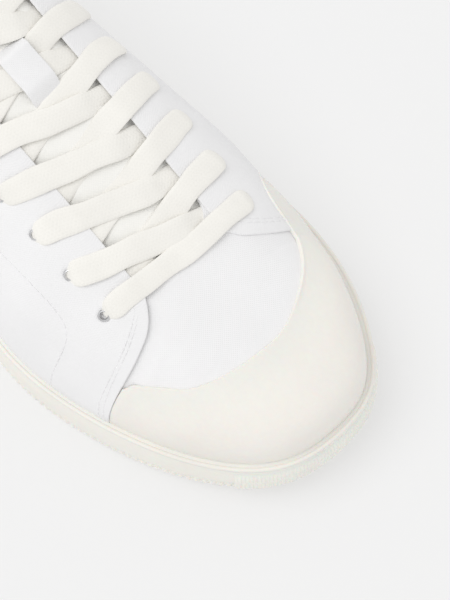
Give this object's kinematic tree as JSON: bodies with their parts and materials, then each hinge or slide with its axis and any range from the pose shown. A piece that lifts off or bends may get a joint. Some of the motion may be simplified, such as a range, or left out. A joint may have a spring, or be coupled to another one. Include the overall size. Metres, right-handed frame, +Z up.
{
  "type": "low canvas sneaker",
  "caption": "Right low canvas sneaker with a rubber toe cap, a rubber foxing band round the sole, flat crossed laces, metal eyelets and a lace tab on the tongue.",
  "frame": {"origin": "middle of the bounding box, on the floor under the sole", "axes": "+X from heel to toe, +Y to the inner side of the foot, +Z up from the floor"},
  "size_m": [0.263, 0.0939, 0.0973],
  "materials": {
    "rubber": "smooth moulded rubber, satin",
    "cap_rubber": "smooth dipped rubber, soft gloss",
    "canvas": "plain-weave cotton canvas, matte",
    "lining": "cotton lining, matte",
    "lace": "flat woven cotton",
    "eyelet": "pressed, satin"
  },
  "bodies": {
    "root": {"outsole": "rubber", "foxing": "rubber", "toe_bumper": "rubber", "toe_cap": "cap_rubber", "upper": "canvas", "tongue": "lining", "insole": "lining", "laces": "lace", "lace_keeper": "canvas", "eyelet_outer_1": "eyelet", "eyelet_outer_2": "eyelet", "eyelet_outer_3": "eyelet", "eyelet_outer_4": "eyelet", "eyelet_outer_5": "eyelet", "eyelet_outer_6": "eyelet", "eyelet_outer_7": "eyelet", "eyelet_inner_1": "eyelet", "eyelet_inner_2": "eyelet", "eyelet_inner_3": "eyelet", "eyelet_inner_4": "eyelet", "eyelet_inner_5": "eyelet", "eyelet_inner_6": "eyelet", "eyelet_inner_7": "eyelet"}
  },
  "joints": []
}
